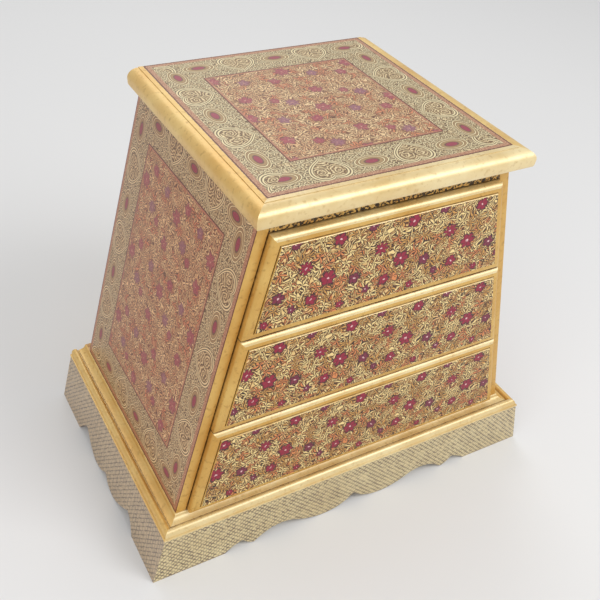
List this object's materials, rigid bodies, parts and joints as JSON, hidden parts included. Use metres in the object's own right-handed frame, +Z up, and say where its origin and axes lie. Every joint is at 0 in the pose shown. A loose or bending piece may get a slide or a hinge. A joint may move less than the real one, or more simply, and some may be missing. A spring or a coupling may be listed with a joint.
{
  "type": "tapered drawer chest stand",
  "caption": "Low gilded wooden chest with outward leaning sides, sliding drawers, a flat moulded top for an open book and a scalloped base.",
  "frame": {"origin": "on the floor under the middle of the base", "axes": "+X to the right seen from the drawers, +Y to the back, +Z up; drawers open towards -Y"},
  "size_m": [0.5212, 0.327, 0.4571],
  "materials": {
    "gilt_moulding": "gold leaf with brown glaze, satin",
    "painted_floral_panel": "hand painted scrolls and red flowers on gold, lacquered",
    "painted_drawer_front": "gold border with painted crimson flowers, lacquered",
    "carved_gilt_skirt": "fine stamped lattice in dull gold, satin",
    "bare_wood": "plain sawn softwood",
    "plywood": "plain plywood"
  },
  "bodies": {
    "case": {"skirt_front": "carved_gilt_skirt", "skirt_left": "carved_gilt_skirt", "skirt_right": "carved_gilt_skirt", "skirt_back": "bare_wood", "base_board": "bare_wood", "base_moulding_front": "gilt_moulding", "base_moulding_left": "gilt_moulding", "base_moulding_right": "gilt_moulding", "corner_block_front_left": "bare_wood", "corner_block_front_right": "bare_wood", "corner_block_back_left": "bare_wood", "corner_block_back_right": "bare_wood", "side_panel_left": "painted_floral_panel", "side_panel_right": "painted_floral_panel", "back_panel": "plywood", "top_rail_front": "gilt_moulding", "top_rail_back": "bare_wood", "top_board": "painted_floral_panel", "top_moulding_front": "gilt_moulding", "top_moulding_left": "gilt_moulding", "top_moulding_right": "gilt_moulding", "runner_bottom_left": "bare_wood", "stop_bottom_left": "bare_wood", "runner_bottom_right": "bare_wood", "stop_bottom_right": "bare_wood", "runner_middle_left": "bare_wood", "stop_middle_left": "bare_wood", "runner_middle_right": "bare_wood", "stop_middle_right": "bare_wood", "runner_top_left": "bare_wood", "stop_top_left": "bare_wood", "runner_top_right": "bare_wood", "stop_top_right": "bare_wood"},
    "drawer_top": {"drawer_top_front": "painted_drawer_front", "drawer_top_side_left": "bare_wood", "drawer_top_side_right": "bare_wood", "drawer_top_back": "bare_wood", "drawer_top_bottom": "plywood"},
    "drawer_middle": {"drawer_middle_front": "painted_drawer_front", "drawer_middle_side_left": "bare_wood", "drawer_middle_side_right": "bare_wood", "drawer_middle_back": "bare_wood", "drawer_middle_bottom": "plywood"},
    "drawer_bottom": {"drawer_bottom_front": "painted_drawer_front", "drawer_bottom_side_left": "bare_wood", "drawer_bottom_side_right": "bare_wood", "drawer_bottom_back": "bare_wood", "drawer_bottom_bottom": "plywood"}
  },
  "joints": [
    {"name": "drawer_top_slide", "type": "slide", "parent": "case", "child": "drawer_top", "axis": [0, -1, 0], "range_m": [0, 0.2]},
    {"name": "drawer_middle_slide", "type": "slide", "parent": "case", "child": "drawer_middle", "axis": [0, -1, 0], "range_m": [0, 0.2]},
    {"name": "drawer_bottom_slide", "type": "slide", "parent": "case", "child": "drawer_bottom", "axis": [0, -1, 0], "range_m": [0, 0.2]}
  ]
}
